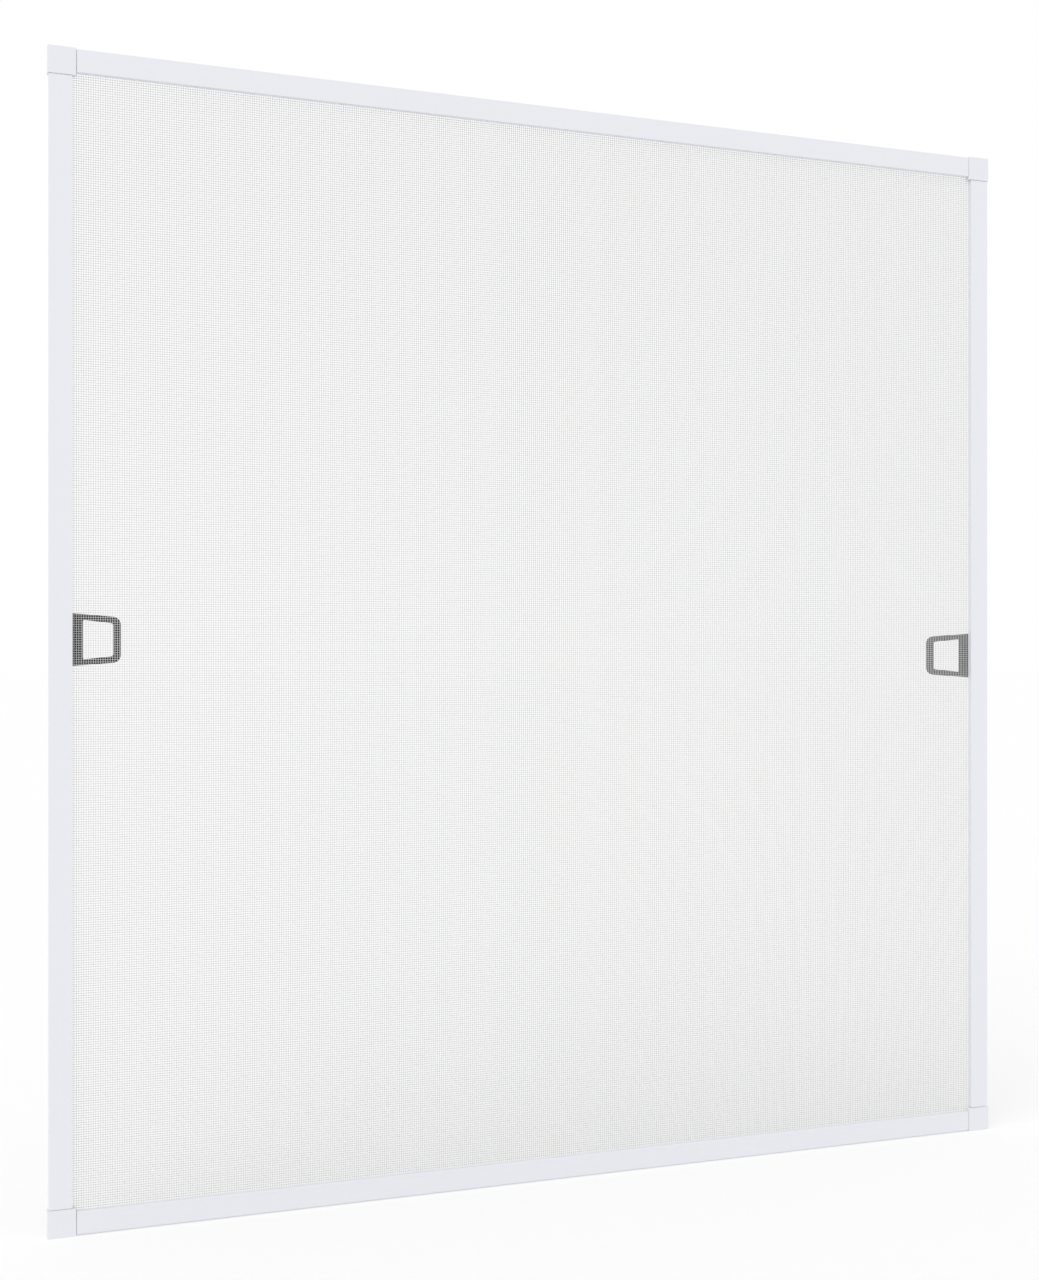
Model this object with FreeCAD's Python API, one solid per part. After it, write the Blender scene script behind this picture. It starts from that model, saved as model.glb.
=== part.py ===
"""Insect screen on a plug-together aluminium frame, for hanging in front of a window.

Four hollow extrusions are plugged onto four moulded corner pieces. A mesh is stretched over
their inner lips and tucked into a groove under a round spline. Two pull tabs sit in the same
groove on the room side, and four bent brackets hook the frame over the window's rebate.

Millimetres. +X is to the right seen from outside, the outside faces -Y and +Z is up.
The origin is at mid-width, at the bottom edge, on the back face of the extrusions.
"""
import FreeCAD, Part
import os

# Overall size, over the corner pieces
screen_width = 1400.0
screen_height = 1500.0

# Extrusion section: its face, its depth, its wall, and the groove behind the inner lip
profile_width = 29.2
profile_depth = 11.0
profile_wall = 1.2
profile_edge_radius = 0.6
lip_drop = 2.5
groove_width = 4.6

# Slot in the back of the extrusion that holds the brush seal
seal_slot_width = 5.4
seal_slot_mouth = 3.6
seal_slot_room = 1.6
seal_slot_lip = 1.0
seal_pile_height = 4.5

# Corner piece: how far its face stands past the extrusions, its legs and its moulding pockets
corner_overhang = 1.4
corner_lap = 4.4
corner_proud = 0.7
corner_edge_radius = 0.5
corner_outer_radius = 1.2
corner_inner_radius = 2.0
leg_length = 55.0
leg_lead_in = 1.5
pocket_wall = 3.0
pocket_rib = 2.0
pocket_floor = 3.0

# Mesh: a coarse grid of openings stands for the fine square weave, and its bars carry raised strands
mesh_pitch = 3.0
mesh_strand = 0.65
mesh_wall = 0.4
mesh_ridge = 0.2
gap_columns = 10
gap_rows = 12

# Pull tab: a bowed plate with a finger hole, narrower towards its free end
tab_height_at_root = 67.0
tab_height_at_tip = 58.0
tab_reach = 62.3
tab_rise = 16.0
tab_bow = 2.7
tab_thickness = 2.2
tab_root_lift = 1.6
tab_root_length = 1.8
tab_root_bar = 13.5
tab_end_bar = 9.8
side_bar_at_root = 7.4
side_bar_at_tip = 8.7
tab_tip_radius = 10.5
hole_root_radius = 2.0
hole_tip_radius = 3.5
left_tab_above_middle = 3.0
right_tab_above_middle = -18.0

# Hang bracket: a strip bent into a Z, with two screws in its foot
bracket_spacing = 900.0
bracket_width = 20.0
bracket_thickness = 1.2
bracket_bend_radius = 1.0
bracket_corner_radius = 2.0
bracket_stand_in = 2.2
bracket_gap = 14.0
bracket_hook = 8.0

# Pan-head screw of the bracket
screw_spacing = 10.0
screw_diameter = 2.8
screw_length = 6.0
head_diameter = 5.4
head_height = 1.8
head_radius = 0.8
recess_length = 3.0
recess_width = 0.7
recess_depth = 0.9

# Clearances between pieces
joint_gap = 0.6
plug_clearance = 0.15
slot_clearance = 0.1
mesh_clearance = 0.1
screw_hole_clearance = 0.3
pilot_clearance = 0.05

half_width = screen_width / 2
half_height = screen_height / 2
corner_size = corner_overhang + profile_width + corner_lap

# Places across the extrusion, counted from its outer edge towards the middle of the screen
groove_inner = profile_width - profile_wall
groove_outer = groove_inner - groove_width
chamber_inner = groove_outer - profile_wall
slot_outer = profile_wall
slot_inner = slot_outer + seal_slot_width
slot_wall = slot_inner + profile_wall
slot_side = (seal_slot_width - seal_slot_mouth) / 2
web_outer = slot_inner + bracket_stand_in
web_inner = web_outer + bracket_thickness
screw_line = (web_inner + bracket_bend_radius + chamber_inner) / 2

# Places through the depth, counted from the face of the extrusion towards the room
chamber_back = profile_depth - profile_wall
slot_lip_front = profile_depth - seal_slot_lip
slot_floor = slot_lip_front - seal_slot_room
leg_room_back = slot_floor - profile_wall
mesh_front = profile_depth - lip_drop
mesh_back = mesh_front + mesh_wall
tuck_front = profile_wall + mesh_clearance
tuck_back = tuck_front + mesh_wall
spline_diameter = groove_width - mesh_wall - 2 * mesh_clearance
spline_back = tuck_back + mesh_clearance + spline_diameter
bracket_seat = profile_depth + bracket_thickness

# Each side of the frame is made as the bottom one and turned about the middle of the screen:
# its turn, its distance from the middle, and half of the frame's size along it
SIDES = {
    "bottom": (0, half_height, half_width),
    "left": (90, half_width, half_height),
    "top": (180, half_height, half_width),
    "right": (270, half_width, half_height),
}
PROFILES = {
    "left": "left_stile",
    "right": "right_stile",
    "top": "top_rail",
    "bottom": "bottom_rail",
}
# Each corner is made as the bottom left one: its turn, and the way to it from the middle
CORNERS = {
    "bottom_left": (0, -1, -1),
    "top_left": (90, -1, 1),
    "top_right": (180, 1, 1),
    "bottom_right": (270, 1, -1),
}
X_AXIS = FreeCAD.Vector(1, 0, 0)
Y_AXIS = FreeCAD.Vector(0, 1, 0)
Z_AXIS = FreeCAD.Vector(0, 0, 1)
MIDDLE = FreeCAD.Vector(0, 0, 0)


def box(low, high):
    """A block between two opposite corners."""
    size = [b - a for a, b in zip(low, high)]
    return Part.makeBox(*size, FreeCAD.Vector(*low))


def outline(points):
    """A closed flat wire through the points."""
    corners = [FreeCAD.Vector(*p) for p in points]
    return Part.makePolygon(corners + corners[:1])


def save(name, shape):
    """Write one piece as a clean solid, or as a group of solids."""
    shape = shape.removeSplitter()
    assert shape.isValid() and shape.Volume > 0, name
    shape.exportStep(f"parts/{name}.step")


def side_point(side, along, across, depth):
    """A point on a side of the frame, before the side is turned to its place."""
    reach = SIDES[side][1]
    return FreeCAD.Vector(along, depth - profile_depth, corner_overhang + across - reach)


def turned(side, shape):
    """A shape of the bottom side turned to its own side of the frame."""
    shape.rotate(MIDDLE, Y_AXIS, SIDES[side][0])
    shape.translate(FreeCAD.Vector(0, 0, half_height))
    return shape


def side_box(side, along, across, depth):
    """A block on one side of the frame, from ranges along, across and through it."""
    low, high = zip(along, across, depth)
    return turned(side, box(side_point(side, *low), side_point(side, *high)))


def side_prism(side, points, along):
    """A section, given as points across and through the side, carried along it."""
    face = Part.Face(outline([side_point(side, along[0], *p) for p in points]))
    return turned(side, face.extrude(X_AXIS * (along[1] - along[0])))


def span(side, short_by):
    """The range along a side between its two corner pieces, less a gap at each end."""
    half = SIDES[side][2] - corner_size - short_by
    return (-half, half)


def edges_at(shape, mark, within):
    """The edges whose middle lies at a point."""
    return [e for e in shape.Edges if (e.CenterOfMass - mark).Length < within]


def edges_through(shape, keep):
    """The edges that run front to back and pass the test."""
    through = [e for e in shape.Edges if e.BoundBox.YLength > 0.999 * e.Length]
    return [e for e in through if keep(e)]


def profile(side):
    """One extrusion: a chamber for the corner legs, a groove for the spline, a slot for the brush."""
    along = span(side, joint_gap)
    section = [
        (0, 0),
        (profile_width, 0),
        (profile_width, mesh_front),
        (groove_inner, mesh_front),
        (groove_inner, profile_wall),
        (groove_outer, profile_wall),
        (groove_outer, profile_depth),
        (slot_inner - slot_side, profile_depth),
        (slot_inner - slot_side, slot_lip_front),
        (slot_inner, slot_lip_front),
        (slot_inner, slot_floor),
        (slot_outer, slot_floor),
        (slot_outer, slot_lip_front),
        (slot_outer + slot_side, slot_lip_front),
        (slot_outer + slot_side, profile_depth),
        (0, profile_depth),
    ]
    chamber = [
        (profile_wall, profile_wall),
        (chamber_inner, profile_wall),
        (chamber_inner, chamber_back),
        (slot_wall, chamber_back),
        (slot_wall, leg_room_back),
        (profile_wall, leg_room_back),
    ]
    bar = side_prism(side, section, along).cut(side_prism(side, chamber, along))
    rounded = []
    for across, depth in [(0, 0), (profile_width, 0), (0, profile_depth)]:
        mark = turned(side, Part.Vertex(side_point(side, 0, across, depth))).Point
        rounded += edges_at(bar, mark, profile_edge_radius / 10)
    return bar.makeFillet(profile_edge_radius, rounded)


def bracket_places():
    """Where the two brackets of a rail stand along it."""
    return (-bracket_spacing / 2, bracket_spacing / 2)


def screw_places():
    """Where the screws of a rail stand along it."""
    half = screw_spacing / 2
    return [place + shift for place in bracket_places() for shift in (-half, half)]


def screw_rod(side, along, diameter, depth):
    """A cylinder on a screw's line, over a range of depth."""
    start = side_point(side, along, screw_line, depth[0])
    return turned(side, Part.makeCylinder(diameter / 2, depth[1] - depth[0], start, Y_AXIS))


def screw_holes(side, diameter, depth):
    """Cylinders on all the screw lines of a rail."""
    return Part.makeCompound([screw_rod(side, u, diameter, depth) for u in screw_places()])


def rail(side):
    """An extrusion that is drilled for the bracket screws."""
    pilot = screw_diameter + 2 * pilot_clearance
    return profile(side).cut(screw_holes(side, pilot, (chamber_back, profile_depth)))


def corner_cap():
    """The square face block of a corner piece, with its outside corner at the origin."""
    face = -profile_depth - corner_proud
    cap = box((0, face, 0), (corner_size, 0, corner_size))
    for place, radius in [(0, corner_outer_radius), (corner_size, corner_inner_radius)]:
        mark = FreeCAD.Vector(place, face / 2, place)
        cap = cap.makeFillet(radius, edges_at(cap, mark, radius / 10))
    rim = [e for e in cap.Edges if e.BoundBox.YMax < face + corner_edge_radius / 10]
    return cap.makeFillet(corner_edge_radius, rim)


def corner_leg():
    """The leg of a corner piece that plugs upwards into a stile's chamber."""
    low = corner_overhang + profile_wall + plug_clearance
    high = corner_overhang + chamber_inner - plug_clearance
    front = profile_wall + plug_clearance - profile_depth
    back = leg_room_back - plug_clearance - profile_depth
    tip = corner_size + leg_length
    leg = box((low, front, pocket_wall), (high, back, tip))
    end = [e for e in leg.Edges if e.BoundBox.ZMin > tip - leg_lead_in / 10]
    return leg.makeChamfer(leg_lead_in, end)


def corner_piece(name):
    """A moulded corner: a cap, cored from behind, and two legs for the extrusions."""
    turn, right, up = CORNERS[name]
    stile_leg = corner_leg()
    rail_leg = stile_leg.copy()
    rail_leg.rotate(MIDDLE, Y_AXIS, 90)
    rail_leg = rail_leg.mirror(MIDDLE, Z_AXIS)
    piece = corner_cap().multiFuse([stile_leg, rail_leg])

    pocket = (corner_overhang + chamber_inner - pocket_wall - pocket_rib) / 2
    starts = (pocket_wall, pocket_wall + pocket + pocket_rib)
    floor = pocket_floor - corner_proud - profile_depth
    cores = []
    for x in starts:
        for z in starts:
            cores.append(box((x, floor, z), (x + pocket, 0, z + pocket)))
    relief = corner_overhang + groove_inner - mesh_wall - mesh_clearance
    behind = mesh_front - mesh_ridge - mesh_clearance - profile_depth
    cores.append(box((relief, behind, relief), (corner_size, 0, corner_size)))
    piece = piece.cut(Part.makeCompound(cores))

    piece.rotate(MIDDLE, Y_AXIS, turn)
    piece.translate(FreeCAD.Vector(right * half_width, 0, half_height + up * half_height))
    return piece


def half_bar(reach, count):
    """Half the width of a bar, which fills its cell of the grid as a strand fills the weave's pitch."""
    return reach / count * mesh_strand / mesh_pitch


def strand_places(reach, count):
    """The raised strands along the bars of the grid, the half bars at its two edges included."""
    cell = 2 * reach / count
    beside = int((half_bar(reach, count) - mesh_strand) / mesh_pitch)
    shifts = [mesh_pitch * i for i in range(-beside, beside + 1)]
    places = [cell * i - reach + shift for i in range(count + 1) for shift in shifts]
    return [place for place in places if abs(place) < reach - mesh_strand]


def gap_ranges(reach, count):
    """The ranges that the openings of the grid take, one in each cell."""
    cell = 2 * reach / count
    bar = half_bar(reach, count)
    starts = [cell * i - reach for i in range(count)]
    return [(start + bar, start + cell - bar) for start in starts]


def mesh_tuck(side):
    """The mesh's edge in the groove: over the lip, down beside it and across the floor."""
    section = [
        (groove_inner, mesh_front),
        (groove_inner, mesh_back),
        (groove_inner - mesh_wall, mesh_back),
        (groove_inner - mesh_wall, tuck_back),
        (groove_outer + mesh_clearance, tuck_back),
        (groove_outer + mesh_clearance, tuck_front),
        (groove_inner - mesh_clearance, tuck_front),
        (groove_inner - mesh_clearance, mesh_front),
    ]
    return side_prism(side, section, span(side, joint_gap))


def insect_mesh():
    """The mesh: a grid of flat bars, with upright strands raised in front and level ones behind."""
    front = mesh_front - profile_depth
    back = mesh_back - profile_depth
    edge = corner_overhang + groove_inner - mesh_wall
    reach_x, reach_z = half_width - edge, half_height - edge
    low = (-reach_x, front, half_height - reach_z)
    wall = box(low, (reach_x, back, half_height + reach_z))

    opening = corner_overhang + profile_width + mesh_clearance
    clear_x, clear_z = half_width - opening, half_height - opening
    half_strand = mesh_strand / 2
    raised = []
    for x in strand_places(clear_x, gap_columns):
        low = (x - half_strand, front - mesh_ridge, half_height - clear_z)
        raised.append(box(low, (x + half_strand, front, half_height + clear_z)))
    for z in strand_places(clear_z, gap_rows):
        low = (-clear_x, back, half_height + z - half_strand)
        raised.append(box(low, (clear_x, back + mesh_ridge, half_height + z + half_strand)))
    sheet = wall.multiFuse(raised + [mesh_tuck(side) for side in SIDES])

    gaps = []
    for left, right in gap_ranges(clear_x, gap_columns):
        for bottom, top in gap_ranges(clear_z, gap_rows):
            low = (left, front, half_height + bottom)
            gaps.append(box(low, (right, back, half_height + top)))
    return sheet.cut(Part.makeCompound(gaps))


def spline(side):
    """A round cord pressed into the groove on top of the tucked mesh."""
    along = span(side, joint_gap)
    radius = spline_diameter / 2
    across = groove_outer + mesh_clearance + radius
    start = side_point(side, along[0], across, spline_back - radius)
    return turned(side, Part.makeCylinder(radius, along[1] - along[0], start, X_AXIS))


def brush_seal(side):
    """A pile strip: its backing slides in the slot and the pile stands out behind the frame."""
    along = span(side, joint_gap)
    base_across = (slot_outer + slot_clearance, slot_inner - slot_clearance)
    base_depth = (slot_floor + slot_clearance, slot_lip_front - slot_clearance)
    pile_across = (base_across[0] + slot_side, base_across[1] - slot_side)
    pile_depth = (base_depth[1], profile_depth + seal_pile_height)
    base = side_box(side, along, base_across, base_depth)
    return base.fuse(side_box(side, along, pile_across, pile_depth))


def tab_height(across):
    """The height of a pull tab at a place across the frame."""
    share = max(across - profile_width, 0) / tab_reach
    return tab_height_at_root + share * (tab_height_at_tip - tab_height_at_root)


def tab_blank(side, along, stations, depth):
    """A block through a tab, of the tab's height at each station less the border given with it."""
    edge = [(across, tab_height(across) / 2 - border) for across, border in stations]
    points = [(along - half, across) for across, half in edge]
    points += [(along + half, across) for across, half in reversed(edge)]
    wire = outline([side_point(side, u, across, depth[0]) for u, across in points])
    return Part.Face(wire).extrude(Y_AXIS * (depth[1] - depth[0]))


def rounded_at(side, block, across, radius):
    """A tab's block with its front-to-back edges at one station rounded."""
    level = side_point(side, 0, across, 0).z
    at_level = edges_through(block, lambda e: abs(e.CenterOfMass.z - level) < radius / 10)
    return block.makeFillet(radius, at_level)


def tab_plate(side, along, front):
    """The bowed plate of a tab, twice its height and not yet cut: two arcs carried along the stile."""
    start = along - tab_height_at_root

    def arc(lift):
        stations = [
            (0, lift),
            (tab_reach / 2, lift + tab_rise / 2 - tab_bow),
            (tab_reach, lift + tab_rise),
        ]
        points = [side_point(side, start, profile_width + a, front + d) for a, d in stations]
        return Part.Arc(*points)

    near, far = arc(0), arc(tab_thickness)
    root = Part.LineSegment(far.StartPoint, near.StartPoint)
    tip = Part.LineSegment(near.EndPoint, far.EndPoint)
    loop = Part.Wire(Part.__sortEdges__([c.toShape() for c in (near, tip, far, root)]))
    return Part.Face(loop).extrude(X_AXIS * 2 * tab_height_at_root)


def pull_tab(side, along):
    """A moulded loop: a bead in the groove, a root over the lip and a bowed plate with a hole."""
    whole = (along - tab_height_at_root, along + tab_height_at_root)
    bead_outer = groove_outer + mesh_clearance
    bead_inner = groove_inner - mesh_wall - mesh_clearance
    root_front = mesh_back + mesh_ridge + mesh_clearance
    plate_front = root_front + tab_root_lift
    root_back = plate_front + tab_thickness
    bead_front = spline_back + mesh_clearance
    bead = side_box(side, whole, (bead_outer, bead_inner), (bead_front, root_back))
    root_across = (bead_outer, profile_width + tab_root_length)
    root = side_box(side, whole, root_across, (root_front, root_back))
    plate = turned(side, tab_plate(side, along, plate_front))
    body = bead.multiFuse([root, plate])

    depth = (0, root_back + tab_rise)
    tip = profile_width + tab_reach
    loop = tab_blank(side, along, [(chamber_inner, 0), (profile_width, 0), (tip, 0)], depth)
    loop = turned(side, rounded_at(side, loop, tip, tab_tip_radius))
    hole_root = profile_width + tab_root_bar
    hole_tip = tip - tab_end_bar
    borders = [(hole_root, side_bar_at_root), (hole_tip, side_bar_at_tip)]
    hole = tab_blank(side, along, borders, depth)
    hole = rounded_at(side, hole, hole_root, hole_root_radius)
    hole = turned(side, rounded_at(side, hole, hole_tip, hole_tip_radius))
    return body.common(loop).cut(hole)


def hang_bracket(side, place):
    """A strip bent into a Z: foot on the rail, web to the room side, hook towards the outside."""
    along = (place - bracket_width / 2, place + bracket_width / 2)
    hook_tip = web_outer - bracket_hook
    hook_front = profile_depth + bracket_gap
    hook_back = hook_front + bracket_thickness
    section = [
        (chamber_inner, profile_depth),
        (chamber_inner, bracket_seat),
        (web_inner, bracket_seat),
        (web_inner, hook_back),
        (hook_tip, hook_back),
        (hook_tip, hook_front),
        (web_outer, hook_front),
        (web_outer, profile_depth),
    ]
    strip = side_prism(side, section, along)
    outer_bend = bracket_bend_radius + bracket_thickness
    bends = [
        (bracket_bend_radius, (web_inner, bracket_seat)),
        (bracket_bend_radius, (web_outer, hook_front)),
        (outer_bend, (web_outer, profile_depth)),
        (outer_bend, (web_inner, hook_back)),
    ]
    for radius, (across, depth) in bends:
        mark = turned(side, Part.Vertex(side_point(side, place, across, depth))).Point
        strip = strip.makeFillet(radius, edges_at(strip, mark, bracket_thickness / 10))
    corners = edges_through(strip, lambda e: e.Length < 1.01 * bracket_thickness)
    strip = strip.makeFillet(bracket_corner_radius, corners)
    clear = screw_diameter + 2 * screw_hole_clearance
    return strip.cut(screw_holes(side, clear, (profile_depth, bracket_seat)))


def bracket_screw(side, along):
    """A pan-head screw with a cross recess."""
    top = bracket_seat + head_height
    shank = screw_rod(side, along, screw_diameter, (bracket_seat - screw_length, bracket_seat))
    head = screw_rod(side, along, head_diameter, (bracket_seat, top))
    rim = [e for e in head.Edges if e.BoundBox.YMin > top - profile_depth - head_radius / 10]
    head = head.makeFillet(head_radius, rim)
    long, wide = recess_length / 2, recess_width / 2
    floor = (top - recess_depth, top)
    arms = []
    for u, a in [(long, wide), (wide, long)]:
        across = (screw_line - a, screw_line + a)
        arms.append(side_box(side, (along - u, along + u), across, floor))
    return head.fuse(shank).cut(arms[0].fuse(arms[1]))


os.makedirs("parts", exist_ok=True)

for side, name in PROFILES.items():
    is_rail = name.endswith("rail")
    save(name, rail(side) if is_rail else profile(side))

for name in CORNERS:
    save(f"corner_piece_{name}", corner_piece(name))

save("insect_mesh", insect_mesh())

for side in SIDES:
    save(f"spline_{side}", spline(side))
    save(f"brush_seal_{side}", brush_seal(side))

# Places along a turned side run downwards on the left stile and upwards on the right one
save("pull_tab_left", pull_tab("left", -left_tab_above_middle))
save("pull_tab_right", pull_tab("right", right_tab_above_middle))

# Places along a rail run to the right at the bottom and to the left at the top
screws = []
for side, hands in [("bottom", ("left", "right")), ("top", ("right", "left"))]:
    for hand, place in zip(hands, bracket_places()):
        save(f"hang_bracket_{side}_{hand}", hang_bracket(side, place))
    screws += [bracket_screw(side, along) for along in screw_places()]
save("bracket_screws", Part.makeCompound(screws))
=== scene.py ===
"""Looks of an insect screen on a plug-together aluminium frame.

Metres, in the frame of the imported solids: +X to the right seen from outside, outside faces -Y, +Z up.
"""
import bpy
import mathutils
import numpy as np
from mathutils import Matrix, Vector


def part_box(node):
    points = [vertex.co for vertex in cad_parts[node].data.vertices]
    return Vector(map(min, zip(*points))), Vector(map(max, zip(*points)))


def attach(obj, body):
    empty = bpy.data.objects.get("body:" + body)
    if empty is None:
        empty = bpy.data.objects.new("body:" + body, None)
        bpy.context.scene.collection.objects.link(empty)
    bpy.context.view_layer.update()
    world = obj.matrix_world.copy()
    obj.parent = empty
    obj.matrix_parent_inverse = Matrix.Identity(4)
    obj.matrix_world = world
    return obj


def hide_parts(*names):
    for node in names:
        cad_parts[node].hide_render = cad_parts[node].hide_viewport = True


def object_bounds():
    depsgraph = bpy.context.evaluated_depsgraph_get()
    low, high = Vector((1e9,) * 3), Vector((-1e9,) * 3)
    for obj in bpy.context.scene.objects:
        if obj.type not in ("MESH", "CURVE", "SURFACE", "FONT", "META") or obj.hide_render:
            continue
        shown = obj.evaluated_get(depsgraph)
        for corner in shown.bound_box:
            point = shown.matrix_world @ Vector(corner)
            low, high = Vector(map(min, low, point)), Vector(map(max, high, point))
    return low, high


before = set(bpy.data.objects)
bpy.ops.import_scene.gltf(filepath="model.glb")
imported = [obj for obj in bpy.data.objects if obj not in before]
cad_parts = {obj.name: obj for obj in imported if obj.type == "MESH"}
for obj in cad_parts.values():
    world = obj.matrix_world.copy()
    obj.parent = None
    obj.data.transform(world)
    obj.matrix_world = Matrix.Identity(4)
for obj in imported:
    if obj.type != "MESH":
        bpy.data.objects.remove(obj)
cad_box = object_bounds()
mm = 0.001

# Corner pieces: four square mouldings of white nylon, each with two legs that plug into the extrusions.
# They come out of the tool with a fine eroded grain, a little less glossy than the coated metal.

grain_detail = 3.0
drift_detail = 2.0
grain_in_tone = 0.4
usual_tones = (0.3, 0.7)


def add_node(tree, kind, inputs, **settings):
    """Add a shader node, with its settings, and set each input by name or number, or link it to a socket."""
    node = tree.nodes.new(kind)
    for key, value in settings.items():
        setattr(node, key, value)
    for key, value in inputs.items():
        if isinstance(value, bpy.types.NodeSocket):
            tree.links.new(value, node.inputs[key])
        else:
            node.inputs[key].default_value = value
    return node


def fine_grain_group():
    """A finish of fine grain over a slow drift of tone.

    A small noise, drawn out along some axes by the grain's run, gives the bumps. Mixed with a wide one
    it runs from the deep to the light tone, and from the smooth to the matt roughness.
    """
    group = bpy.data.node_groups.new("fine_grain", "ShaderNodeTree")
    sockets = group.interface
    for name in ("Light Tone", "Deep Tone"):
        sockets.new_socket(name, in_out="INPUT", socket_type="NodeSocketColor")
    for name in ("Grain Scale", "Grain Depth", "Drift Scale", "Smooth", "Matt"):
        sockets.new_socket(name, in_out="INPUT", socket_type="NodeSocketFloat")
    sockets.new_socket("Grain Run", in_out="INPUT", socket_type="NodeSocketVector")
    sockets.new_socket("Color", in_out="OUTPUT", socket_type="NodeSocketColor")
    sockets.new_socket("Roughness", in_out="OUTPUT", socket_type="NodeSocketFloat")
    sockets.new_socket("Normal", in_out="OUTPUT", socket_type="NodeSocketVector")

    given = group.nodes.new("NodeGroupInput").outputs
    place = group.nodes.new("ShaderNodeTexCoord").outputs["Object"]
    drawn_inputs = {0: place, 1: given["Grain Run"]}
    drawn = add_node(group, "ShaderNodeVectorMath", drawn_inputs, operation="DIVIDE").outputs[0]
    grain_inputs = {"Vector": drawn, "Scale": given["Grain Scale"], "Detail": grain_detail}
    grain = add_node(group, "ShaderNodeTexNoise", grain_inputs).outputs["Fac"]
    drift_inputs = {"Vector": place, "Scale": given["Drift Scale"], "Detail": drift_detail}
    drift = add_node(group, "ShaderNodeTexNoise", drift_inputs).outputs["Fac"]
    tone = add_node(group, "ShaderNodeMix", {0: grain_in_tone, 2: drift, 3: grain}).outputs[0]
    colour_inputs = {0: tone, 6: given["Deep Tone"], 7: given["Light Tone"]}
    colour = add_node(group, "ShaderNodeMix", colour_inputs, data_type="RGBA").outputs[2]
    tone_range = {1: usual_tones[0], 2: usual_tones[1]}
    rough_inputs = {"Value": tone, **tone_range, 3: given["Smooth"], 4: given["Matt"]}
    rough = add_node(group, "ShaderNodeMapRange", rough_inputs).outputs[0]
    bump_inputs = {"Height": grain, "Distance": given["Grain Depth"], "Strength": 1.0}
    bump = add_node(group, "ShaderNodeBump", bump_inputs).outputs["Normal"]
    add_node(group, "NodeGroupOutput", {"Color": colour, "Roughness": rough, "Normal": bump})
    return group


fine_grain = fine_grain_group()


def grained(name, light, deep, grain, depth, drift, roughness, run=(1.0, 1.0, 1.0), shader=()):
    """A material of that grain: tones, grain width and depth, width of the drift, and range of roughness.

    The run says how many times its width the grain is long, along each axis.
    """
    material = bpy.data.materials.new(name)
    material.use_nodes = True
    tree = material.node_tree
    tones = {"Light Tone": (*light, 1.0), "Deep Tone": (*deep, 1.0)}
    sizes = {"Grain Scale": 1.0 / grain, "Grain Depth": depth, "Grain Run": run, "Drift Scale": 1.0 / drift}
    gloss = {"Smooth": roughness[0], "Matt": roughness[1]}
    look = add_node(tree, "ShaderNodeGroup", {**tones, **sizes, **gloss}, node_tree=fine_grain)
    surface = tree.nodes["Principled BSDF"]
    tree.links.new(look.outputs["Color"], surface.inputs["Base Color"])
    tree.links.new(look.outputs["Roughness"], surface.inputs["Roughness"])
    tree.links.new(look.outputs["Normal"], surface.inputs["Normal"])
    for key, value in dict(shader).items():
        surface.inputs[key].default_value = value
    return material


def finish_nodes(names, material):
    """Give the solids of these names a finish."""
    for name in names:
        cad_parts[name].material_slots[0].material = material


corner_plastic = grained(
    "corner_plastic",
    light=(0.80, 0.81, 0.85),
    deep=(0.77, 0.78, 0.82),
    grain=0.5 * mm,
    depth=0.012 * mm,
    drift=60 * mm,
    roughness=(0.42, 0.50),
)
corner_names = [f"{level}_{hand}" for level in ("top", "bottom") for hand in ("left", "right")]
finish_nodes([f"corner_piece_{corner}" for corner in corner_names], corner_plastic)

# Extrusions: four hollow aluminium profiles, cut square and powder coated white before assembly.
# The baked coat has a faint orange peel and hides the metal on every side.

powder_coat = grained(
    "powder_coat",
    light=(0.80, 0.81, 0.85),
    deep=(0.78, 0.79, 0.83),
    grain=1.3 * mm,
    depth=0.02 * mm,
    drift=180 * mm,
    roughness=(0.34, 0.42),
)
extrusions = ["left_stile", "right_stile", "top_rail", "bottom_rail"]
finish_nodes(extrusions, powder_coat)

# Insect mesh: glass-fibre yarn coated with grey vinyl, woven square and fused where yarns cross.
# The sheet is stretched over the inner lips of the extrusions and tucked down into their grooves.

profile_wall = 1.2 * mm
groove_width = 4.6 * mm
lip_drop = 2.5 * mm
yarn_width = 0.53 * mm
yarn_depth = 0.60 * mm
yarn_bevel = 0.05 * mm
layer_shift = 0.03 * mm
columns_in_width = 469
rows_in_height = 503
fold = 0.3 * mm
end_room = 0.5 * mm
crease_angle = np.radians(50)


def closed_tubes(name, material, tubes, loops=()):
    """A piece made of closed tubes, from arrays of points (tube, ring, place round the ring).

    Neighbouring rings are joined by four-sided faces. A tube's first and last rings are closed by a
    face each, and a loop's are joined to each other.
    """
    points, faces, start = [], [], 0
    for number, rings in enumerate([*tubes, *loops]):
        count, length, around = rings.shape[:3]
        index = start + np.arange(count * length * around).reshape(count, length, around)
        is_loop = number >= len(tubes)
        row = np.concatenate([index, index[:, :1]], axis=1) if is_loop else index
        ahead = np.roll(row, -1, axis=2)
        walls = np.stack([row[:, :-1], ahead[:, :-1], ahead[:, 1:], row[:, 1:]], axis=-1)
        faces += walls.reshape(-1, 4).tolist()
        if not is_loop:
            faces += index[:, 0, ::-1].tolist() + index[:, -1].tolist()
        points.append(rings.reshape(-1, 3))
        start += index.size
    mesh = bpy.data.meshes.new(name)
    mesh.from_pydata(np.concatenate(points).tolist(), [], faces)
    mesh.shade_smooth()
    mesh.set_sharp_from_angle(angle=crease_angle)
    mesh.materials.append(material)
    piece = bpy.data.objects.new(name, mesh)
    bpy.context.scene.collection.objects.link(piece)
    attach(piece, "root")
    return piece


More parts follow.
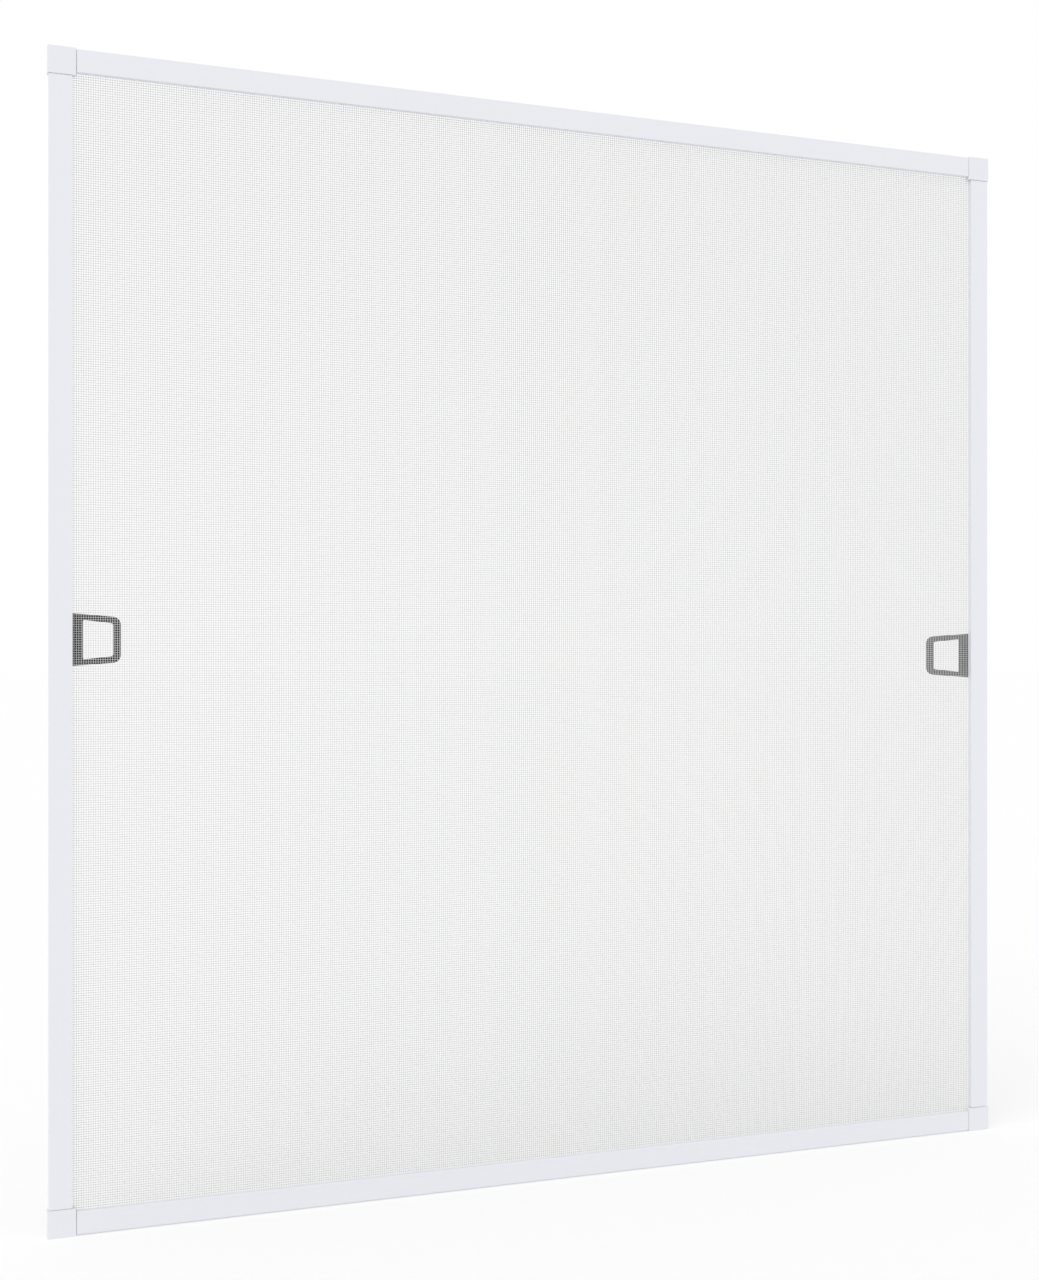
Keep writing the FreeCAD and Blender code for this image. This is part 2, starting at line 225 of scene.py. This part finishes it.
def cloth_line(low, high, front, back):
    """The line of the cloth between two facing extrusions, as (place, depth) points.

    It starts on the floor of one groove, rises beside the lip, folds over it, crosses the opening at
    half the cloth's thickness behind the lips, and goes down into the other groove the same way.
    """
    half = yarn_depth / 2 + layer_shift
    lip = back - lip_drop
    floor = front + profile_wall + half
    beyond = np.array([
        (profile_wall + groove_width - end_room, floor),
        (profile_wall + half + fold, floor),
        (profile_wall + half, floor + fold),
        (profile_wall + half, lip),
        (profile_wall, lip + half),
    ])
    start = beyond * (-1, 1) + (low, 0)
    end = beyond[::-1] + (high, 0)
    return np.concatenate([start, end])


def flat_part(line):
    """Where the cloth lies flat over the opening: between the two middle points of its line."""
    middle = len(line) // 2
    return line[middle - 1, 0], line[middle, 0]


def line_length(line):
    """The length of a line of points: its steps added up."""
    return float(np.linalg.norm(np.diff(line, axis=0), axis=1).sum())


def along_line(line, distances):
    """Points of a line, and its directions there, at distances from the middle of its length."""
    steps = np.diff(line, axis=0)
    lengths = np.linalg.norm(steps, axis=1)
    reach = np.concatenate([[0], np.cumsum(lengths)]) - lengths.sum() / 2
    part = np.clip(np.searchsorted(reach, distances) - 1, 0, len(steps) - 1)
    direction = steps[part] / lengths[part, None]
    return line[part] + (distances - reach[part])[:, None] * direction, direction


def left_of(direction):
    """Directions turned a quarter turn to the left."""
    return np.stack([-direction[..., 1], direction[..., 0]], axis=-1)


def mitred(line):
    """The sideways direction at each point of a line, lengthened so that both runs keep their width."""
    run = np.diff(line, axis=0)
    side = left_of(run / np.linalg.norm(run, axis=1)[:, None])
    both = np.concatenate([side[:1], side[:-1] + side[1:], side[-1:]])
    square = np.concatenate([[1.0], (both[1:-1] * side[:-1]).sum(axis=1), [1.0]])
    return both / square[:, None]


def octagon(width, depth, bevel):
    """A bevelled rectangle as (width, depth) points, anticlockwise."""
    w, d, b = width / 2, depth / 2, bevel
    quarter = np.array([(w, d - b), (w - b, d)])
    return np.concatenate([quarter, quarter[::-1] * (-1, 1), -quarter, quarter[::-1] * (1, -1)])


def folded_yarns(line, places, shift, upright):
    """Yarns that follow the cloth's line, side by side at the given places.

    Each ring is the yarn's section, with its depth laid along the line's sideways direction and its
    width along the axis on which the yarns are spaced.
    """
    section = octagon(yarn_width, yarn_depth, yarn_bevel)
    spine = line[:, None] + mitred(line)[:, None] * (section[:, 1] + shift)[None, :, None]
    shape = (len(places), *spine.shape[:2])
    run, depth = np.broadcast_to(spine[..., 0], shape), np.broadcast_to(spine[..., 1], shape)
    width = section[:, 0] if upright else -section[:, 0]
    across = np.broadcast_to(places[:, None, None] + width, shape)
    return np.stack([across, depth, run] if upright else [run, depth, across], axis=-1)


def straight_yarns(line, distances, ends, shift, upright):
    """Yarns that lie straight across the cloth's line, at distances along it, from end to end.

    The yarn's section is turned with the cloth, so its depth stays square to the cloth's line.
    """
    section = octagon(yarn_width, yarn_depth, yarn_bevel)
    middle, direction = along_line(line, distances)
    width = section[:, 0] if upright else -section[:, 0]
    ring = middle[:, None] + direction[:, None] * width[None, :, None]
    ring = ring + left_of(direction)[:, None] * (section[:, 1] + shift)[None, :, None]
    shape = (len(distances), 2, len(section))
    across, depth = [np.broadcast_to(ring[:, None, :, i], shape) for i in (0, 1)]
    run = np.broadcast_to(np.array(ends)[None, :, None], shape)
    return np.stack([across, depth, run] if upright else [run, depth, across], axis=-1)


def yarn_distances(line, pitch):
    """Even distances from the middle of the cloth, as many as its whole length holds."""
    count = int((line_length(line) - yarn_width) / 2 / pitch - 0.5)
    return pitch * (np.arange(-count - 1, count + 1) + 0.5)


left_low, left_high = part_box("left_stile")
bottom_low, bottom_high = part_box("bottom_rail")
right_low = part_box("right_stile")[0]
top_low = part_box("top_rail")[0]
cloth_wide = cloth_line(left_high.x, right_low.x, left_low.y, left_high.y)
cloth_tall = cloth_line(bottom_high.z, top_low.z, left_low.y, left_high.y)
stile_ends = (left_low.z, left_high.z)
rail_ends = (bottom_low.x, bottom_high.x)
screen_low, screen_high = cad_box
pitch_wide = (screen_high[0] - screen_low[0]) / columns_in_width
pitch_tall = (screen_high[2] - screen_low[2]) / rows_in_height

# A yarn that meets a side folds over its lip. Beside the corner pieces, where there is no lip to fold over,
# it stops at the edge of the opening. Where the cloth itself is folded, it lies straight in the groove.
yarns = []
for cloth, other, pitch, facing_ends, groove_ends, upright in (
    (cloth_wide, cloth_tall, pitch_wide, rail_ends, stile_ends, True),
    (cloth_tall, cloth_wide, pitch_tall, stile_ends, rail_ends, False),
):
    shift = -layer_shift if upright else layer_shift
    distances = yarn_distances(cloth, pitch)
    places = along_line(cloth, distances)[0][:, 0]
    flat_from, flat_to = flat_part(cloth)
    flat = (places > flat_from) & (places < flat_to)
    folded = (places > facing_ends[0] + yarn_width) & (places < facing_ends[1] - yarn_width)
    yarns.append(folded_yarns(other, places[folded], shift, upright))
    yarns.append(straight_yarns(cloth, distances[flat & ~folded], flat_part(other), shift, upright))
    yarns.append(straight_yarns(cloth, distances[~flat], groove_ends, shift, upright))

mesh_vinyl = grained(
    "mesh_vinyl",
    light=(0.69, 0.69, 0.695),
    deep=(0.61, 0.61, 0.615),
    grain=1.6 * mm,
    depth=0.02 * mm,
    drift=40 * mm,
    roughness=(0.45, 0.6),
)
mesh_piece = closed_tubes("insect_mesh_yarns", mesh_vinyl, yarns)
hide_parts("insect_mesh")

# Splines: soft grey vinyl cord with fine flutes, rolled into each groove on top of the tucked mesh.
# The flutes grip the groove's walls and the yarns, so no glue or clip is needed.

flute_count = 18
flute_depth = 0.14 * mm
steps_per_flute = 6


def side_axes(side):
    """The directions along and across a side of the frame, which with +Y make a right hand."""
    upright = side in ("left", "right")
    along = np.array((0.0, 0.0, 1.0) if upright else (1.0, 0.0, 0.0))
    across = np.array((1.0, 0.0, 0.0) if upright else (0.0, 0.0, -1.0))
    return along, across


def laid_on_side(node, side, along, across, depth):
    """Points on a node's own middle, moved by distances along and across its side and in depth."""
    low, high = (np.array(corner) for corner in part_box(node))
    run, sideways = side_axes(side)
    inward = np.array((0.0, 1.0, 0.0))
    moved = along[..., None] * run + across[..., None] * sideways + depth[..., None] * inward
    return (low + high) / 2 + moved


def side_length(node, side):
    """How long a node is along its side of the frame."""
    low, high = (np.array(corner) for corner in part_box(node))
    return float(np.abs((high - low) @ side_axes(side)[0]))


spline_vinyl = grained(
    "spline_vinyl",
    light=(0.30, 0.30, 0.31),
    deep=(0.22, 0.22, 0.23),
    grain=0.8 * mm,
    depth=0.02 * mm,
    drift=50 * mm,
    roughness=(0.5, 0.65),
)
sides = ("left", "right", "top", "bottom")
for side in sides:
    node = f"spline_{side}"
    low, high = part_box(node)
    turn = np.linspace(0, 2 * np.pi, flute_count * steps_per_flute, endpoint=False)
    radius = (high.y - low.y) / 2 - flute_depth * (1 - np.cos(flute_count * turn)) / 2
    ends = np.array([-0.5, 0.5]) * side_length(node, side)
    along = np.broadcast_to(ends[:, None], (2, len(turn)))
    across = np.broadcast_to(radius * np.cos(turn), along.shape)
    depth = np.broadcast_to(radius * np.sin(turn), along.shape)
    rings = laid_on_side(node, side, along, across, depth)
    cord = closed_tubes(f"{node}_fluted", spline_vinyl, [rings[None]])
    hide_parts(node)

# Pull tabs: two black loops moulded in tough plastic, one on each stile behind the mesh.
# A bead along the root is pressed into the groove over the spline. A finger goes through the bowed loop.

tab_rise = 16.0 * mm
tab_bow = 2.7 * mm
tab_thickness = 2.2 * mm
tab_height_at_tip = 58.0 * mm
tab_tip_radius = 10.5 * mm
tab_root_radius = 0.8 * mm
tab_root_bar = 13.5 * mm
tab_end_bar = 9.8 * mm
side_bar_at_root = 7.4 * mm
side_bar_at_tip = 8.7 * mm
hole_root_radius = 2.0 * mm
hole_tip_radius = 3.5 * mm
loop_edge = 0.7 * mm
loop_edge_points = 4
loop_arc_steps = 8
loop_side_steps = 14
root_lip = 1.8 * mm
root_depth = 3.8 * mm
root_inset = 0.1 * mm
root_edge = 0.45 * mm
root_end_share = 0.9
root_arc_steps = 4
root_side_steps = 3
bead_width = 4.0 * mm
bead_depth = 3.3 * mm
bead_clearance = 0.1 * mm


def rounded_outline(corners, radii, arc_steps, side_steps):
    """A closed outline of straight sides, with an arc that touches both sides at each corner.

    An arc's points are even turns about its centre, which lies on the corner's bisector. A side's
    points are even steps between the arcs at its two ends.
    """
    corners, radii = np.array(corners), np.array(radii)
    before, after = np.roll(corners, 1, axis=0) - corners, np.roll(corners, -1, axis=0) - corners
    before = before / np.linalg.norm(before, axis=1)[:, None]
    after = after / np.linalg.norm(after, axis=1)[:, None]
    half_angle = np.arccos((before * after).sum(axis=1)) / 2
    inward = (before + after) / np.linalg.norm(before + after, axis=1)[:, None]
    centre = corners + inward * (radii / np.sin(half_angle))[:, None]
    touch = (radii / np.tan(half_angle))[:, None]
    start, end = corners + before * touch - centre, corners + after * touch - centre
    sweep = (np.pi - 2 * half_angle)[:, None]
    share = np.linspace(0, 1, arc_steps + 1)
    leave, reach = np.sin((1 - share) * sweep)[..., None], np.sin(share * sweep)[..., None]
    arcs = centre[:, None] + (start[:, None] * leave + end[:, None] * reach) / np.sin(sweep)[..., None]
    gap = np.roll(arcs[:, 0], -1, axis=0) - arcs[:, -1]
    step = np.linspace(0, 1, side_steps + 2)[1:-1]
    straight = arcs[:, -1:] + gap[:, None] * step[None, :, None]
    return np.concatenate([arcs, straight], axis=1).reshape(-1, 2)


def tapered_corners(reach, height_at_root, stations, borders):
    """The corners of a tab's outline between two stations, less the border at each of them."""
    stations = np.array(stations)
    height = height_at_root + stations / reach * (tab_height_at_tip - height_at_root)
    (start, stop), (low, high) = stations, height / 2 - np.array(borders)
    return [(start, -low), (stop, -high), (stop, high), (start, low)]


def bowed_lift(stations, reach):
    """The plate's distance from its root plane: a straight rise less a parabola."""
    share = stations / reach
    return tab_rise * share - 4 * tab_bow * share * (1 - share)


def loop_rings(inner, outer, reach):
    """The loop of a tab: at each step round it, a bar with rounded edges from the hole to the outside.

    The bar's section is four quarter rounds joined by straight sides. Each point is then lifted by
    the bow of the plate at its distance from the root.
    """
    turn = np.linspace(0, np.pi / 2, loop_edge_points) + np.pi / 2 * np.arange(-1, 3)[:, None]
    far = np.repeat([1.0, 1.0, 0.0, 0.0], loop_edge_points)
    high = np.repeat([0.0, 1.0, 1.0, 0.0], loop_edge_points)
    span = outer - inner
    width = np.linalg.norm(span, axis=1)[:, None]
    sideways = far * (width - 2 * loop_edge) + loop_edge * (1 + np.cos(turn.ravel()))
    upwards = high * (tab_thickness - 2 * loop_edge) + loop_edge * (1 + np.sin(turn.ravel()))
    plan = inner[:, None] + (span / width)[:, None] * sideways[..., None]
    return plan[..., 0], plan[..., 1], bowed_lift(plan[..., 0], reach) + upwards


def root_rings(height):
    """The root of a tab: a bead with a lip over it, carried along the stile and drawn in at its ends."""
    back = tab_thickness
    front = back - root_depth
    bead_start = -profile_wall - groove_width + bead_clearance
    bead_front = front - bead_depth
    corners = [
        (bead_start, bead_front),
        (bead_start + bead_width, bead_front),
        (bead_start + bead_width, front),
        (root_lip, front),
        (root_lip, back - root_inset),
        (bead_start, back - root_inset),
    ]
    section = rounded_outline(corners, [root_edge] * len(corners), root_arc_steps, root_side_steps)
    middle = section.mean(axis=0)
    ends = np.array([-1.0, -1.0, 1.0, 1.0]) * height / 2 + np.array([0.0, 1.0, -1.0, 0.0]) * root_edge
    drawn = np.array([root_end_share, 1.0, 1.0, root_end_share])
    rings = middle + (section - middle)[None] * drawn[:, None, None]
    return rings[..., 0], np.broadcast_to(ends[:, None], rings.shape[:2]), rings[..., 1]


def on_stile(root, hand, stations, heights, depths):
    """Points of a tab, given from the middle of its root, which the right hand turns half round."""
    return np.array(root) + np.stack([hand * stations, depths, hand * heights], axis=-1)


tab_plastic = grained(
    "tab_plastic",
    light=(0.010, 0.010, 0.011),
    deep=(0.006, 0.006, 0.007),
    grain=0.6 * mm,
    depth=0.015 * mm,
    drift=25 * mm,
    roughness=(0.40, 0.52),
    shader={"Specular IOR Level": 0.25},
)
for hand, side in ((1, "left"), (-1, "right")):
    node = f"pull_tab_{side}"
    low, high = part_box(node)
    inner_edge = left_high.x if hand > 0 else right_low.x
    reach = abs((high.x if hand > 0 else low.x) - inner_edge)
    root_height = high.z - low.z
    root_middle = (inner_edge, high.y - tab_rise - tab_thickness, (low.z + high.z) / 2)

    outside = tapered_corners(reach, root_height, (0.0, reach), (0.0, 0.0))
    outside_radii = [tab_root_radius, tab_tip_radius, tab_tip_radius, tab_root_radius]
    outer = rounded_outline(outside, outside_radii, loop_arc_steps, loop_side_steps)
    hole_ends = (tab_root_bar, reach - tab_end_bar)
    hole = tapered_corners(reach, root_height, hole_ends, (side_bar_at_root, side_bar_at_tip))
    hole_radii = [hole_root_radius, hole_tip_radius, hole_tip_radius, hole_root_radius]
    inner = rounded_outline(hole, hole_radii, loop_arc_steps, loop_side_steps)

    loop = on_stile(root_middle, hand, *loop_rings(inner, outer, reach))
    root = on_stile(root_middle, hand, *root_rings(root_height))
    tab = closed_tubes(f"{node}_moulding", tab_plastic, tubes=[root[None]], loops=[loop[None]])
    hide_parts(node)

# Brush seals: strips of stiff polypropylene pile on a woven backing, slid into the slot behind each side.
# The pile closes the gap to the window frame, and its tips splay and vary a little.

backing_depth = 1.4 * mm
backing_bevel = 0.2 * mm
core_width = 3.0 * mm
core_height = 3.6 * mm
core_bevel = 0.5 * mm
pile_width = 3.4 * mm
tuft_rows = 8
tuft_spacing = 0.8 * mm
tuft_scatter = 0.4
tuft_root = 0.30 * mm
tuft_tip = 0.10 * mm
tuft_lean = 0.08
tuft_sides = 3
shortest_tuft = 0.88


def strip_rings(length, width, depth, bevel):
    """A bevelled bar along a side, as distances along, across and in depth from its own middle."""
    section = octagon(width, depth, bevel)
    along = np.broadcast_to(np.array([-0.5, 0.5])[:, None] * length, (2, len(section)))
    across = np.broadcast_to(section[:, 0], along.shape)
    return along, across, np.broadcast_to(section[:, 1], along.shape)


def tuft_rings(length, height, draws):
    """Tapered tufts in rows, as distances along, across and in height from the middle of the pile's foot.

    A tuft is a thin spike from a ring at its root to a smaller one at its tip. Its place along the strip,
    its lean, its height and its turn about itself are drawn at random.
    """
    columns = int(length / tuft_spacing)
    at = (np.arange(columns) + 0.5) / columns - 0.5
    row = (np.arange(tuft_rows) + 0.5) / tuft_rows - 0.5
    place_along = (at[:, None] * length + np.zeros(tuft_rows)).ravel()
    place_across = (row[None] * pile_width + np.zeros((columns, 1))).ravel()
    place_along = place_along + tuft_spacing * draws.uniform(-tuft_scatter, tuft_scatter, place_along.size)
    lean = height * tuft_lean * draws.normal(size=(2, place_along.size))
    tall = height * draws.uniform(shortest_tuft, 1.0, place_along.size)
    turned = draws.uniform(0, 2 * np.pi, place_along.size)
    share = np.array([0.0, 1.0])[None, :, None]
    radius = tuft_root + (tuft_tip - tuft_root) * share
    turn = turned[:, None, None] + 2 * np.pi * np.arange(tuft_sides) / tuft_sides
    along = place_along[:, None, None] + lean[0][:, None, None] * share + radius * np.sin(turn)
    across = place_across[:, None, None] + lean[1][:, None, None] * share + radius * np.cos(turn)
    across = np.clip(across, -pile_width / 2, pile_width / 2)
    return along, across, np.broadcast_to(tall[:, None, None] * share, along.shape)


brush_pile = grained(
    "brush_pile",
    light=(0.34, 0.34, 0.35),
    deep=(0.20, 0.20, 0.21),
    grain=0.7 * mm,
    depth=0.05 * mm,
    drift=9 * mm,
    roughness=(0.65, 0.85),
)
for number, side in enumerate(sides):
    node = f"brush_seal_{side}"
    low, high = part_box(node)
    length = side_length(node, side)
    width = min(high.x - low.x, high.z - low.z)
    half_depth = (high.y - low.y) / 2
    draws = np.random.default_rng(number)
    along, across, depth = strip_rings(length, width, backing_depth, backing_bevel)
    backing = laid_on_side(node, side, along, across, depth + backing_depth / 2 - half_depth)
    along, across, depth = strip_rings(length, core_width, core_height, core_bevel)
    core = laid_on_side(node, side, along, across, depth + backing_depth + core_height / 2 - half_depth)
    along, across, height = tuft_rings(length - tuft_spacing, 2 * half_depth - backing_depth, draws)
    tufts = laid_on_side(node, side, along, across, height + backing_depth - half_depth)
    seal = closed_tubes(f"{node}_pile", brush_pile, [backing[None], core[None], tufts])
    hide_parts(node)

# Hang brackets: four stainless strips, brushed along their length, then blanked, drilled and bent into a Z.
# Two screws hold each one on the back of a rail, and its hook grips the window's rebate.

bracket_steel = grained(
    "bracket_steel",
    light=(0.66, 0.66, 0.65),
    deep=(0.48, 0.48, 0.47),
    grain=0.25 * mm,
    depth=0.006 * mm,
    drift=9 * mm,
    roughness=(0.28, 0.42),
    run=(1.0, 40.0, 40.0),
    shader={"Metallic": 1.0},
)
finish_nodes([f"hang_bracket_{corner}" for corner in corner_names], bracket_steel)

# Bracket screws: eight small pan heads with a cross recess, cold formed in steel and bright zinc plated.
# They are driven into drilled holes in the back wall of the rails.

screw_zinc = grained(
    "screw_zinc",
    light=(0.78, 0.78, 0.76),
    deep=(0.64, 0.64, 0.62),
    grain=0.4 * mm,
    depth=0.006 * mm,
    drift=4 * mm,
    roughness=(0.22, 0.34),
    shader={"Metallic": 1.0},
)
finish_nodes(["bracket_screws"], screw_zinc)

# Studio: a white floor under an even white sky, with one broad, far, soft light high in front on the left.
# To the camera the floor is as white as the sky, and it takes the screen's shadow at half its depth.

sky_light = 0.81
sky_light_seen = 1.0
soft_light = 0.95
soft_light_spread = np.radians(60)
soft_light_from = (-0.50, -0.45, 0.65)
floor_reach = 60.0
floor_tone = 0.95
floor_tone_seen = 0.50
floor_glow_seen = 0.485


def grey(tone):
    """A colour without hue. Tone 1 is white."""
    return (tone, tone, tone, 1.0)


def seen_directly(tree):
    """A mask of 1 for rays from the camera, a mirror or a glass, and 0 for rays that only carry light."""
    path = tree.nodes.new("ShaderNodeLightPath").outputs
    seen = path["Is Camera Ray"]
    for kind in ("Is Glossy Ray", "Is Transmission Ray"):
        seen = add_node(tree, "ShaderNodeMath", {0: seen, 1: path[kind]}, operation="MAXIMUM").outputs[0]
    return seen


world = bpy.data.worlds.new("white_sky")
world.use_nodes = True
tree = world.node_tree
tree.nodes.clear()
dim_sky = add_node(tree, "ShaderNodeBackground", {"Color": grey(1.0), "Strength": sky_light})
white_sky = add_node(tree, "ShaderNodeBackground", {"Color": grey(1.0), "Strength": sky_light_seen})
sky_inputs = {0: seen_directly(tree), 1: dim_sky.outputs[0], 2: white_sky.outputs[0]}
sky = add_node(tree, "ShaderNodeMixShader", sky_inputs)
add_node(tree, "ShaderNodeOutputWorld", {"Surface": sky.outputs[0]})
bpy.context.scene.world = world

floor_paint = bpy.data.materials.new("floor_paint")
floor_paint.use_nodes = True
tree = floor_paint.node_tree
tree.nodes.clear()
matt = add_node(tree, "ShaderNodeBsdfDiffuse", {"Color": grey(floor_tone)})
matt_seen = add_node(tree, "ShaderNodeBsdfDiffuse", {"Color": grey(floor_tone_seen)})
glow_seen = add_node(tree, "ShaderNodeEmission", {"Color": grey(1.0), "Strength": floor_glow_seen})
white = add_node(tree, "ShaderNodeAddShader", {0: matt_seen.outputs[0], 1: glow_seen.outputs[0]})
floor_inputs = {0: seen_directly(tree), 1: matt.outputs[0], 2: white.outputs[0]}
paint = add_node(tree, "ShaderNodeMixShader", floor_inputs)
add_node(tree, "ShaderNodeOutputMaterial", {"Surface": paint.outputs[0]})

floor_mesh = bpy.data.meshes.new("floor")
floor_corners = floor_reach * np.array([(-1, -1, 0), (1, -1, 0), (1, 1, 0), (-1, 1, 0)])
floor_mesh.from_pydata(floor_corners.tolist(), [], [(0, 1, 2, 3)])
floor_mesh.materials.append(floor_paint)
floor = bpy.data.objects.new("floor", floor_mesh)
bpy.context.scene.collection.objects.link(floor)

soft_box = bpy.data.lights.new("soft_box", "SUN")
soft_box.energy = soft_light
soft_box.angle = soft_light_spread
lamp = bpy.data.objects.new("soft_box", soft_box)
lamp.rotation_euler = mathutils.Vector(soft_light_from).to_track_quat("Z", "Y").to_euler()
bpy.context.scene.collection.objects.link(lamp)

# Camera: level, at the middle of the screen's height, well to the left and turned to the right.
# Being level, it keeps the stiles upright. Its lens and shift are counted in pixels of a frame 1280 tall.

camera_place = (-0.834, -2.130, 0.7365)
camera_turn = np.radians(19.8)
sensor_width = 36.0
photo_tall = 1280
focal_pixels = 1625
horizon_below_middle = 12.6

camera = bpy.data.cameras.new("camera")
camera.sensor_width = sensor_width
camera.lens = sensor_width * focal_pixels / photo_tall
camera.shift_y = horizon_below_middle / photo_tall
viewer = bpy.data.objects.new("camera", camera)
viewer.location = camera_place
viewer.rotation_euler = (np.pi / 2, 0.0, -camera_turn)
bpy.context.scene.collection.objects.link(viewer)
bpy.context.scene.camera = viewer
bpy.context.scene.view_settings.view_transform = "Standard"
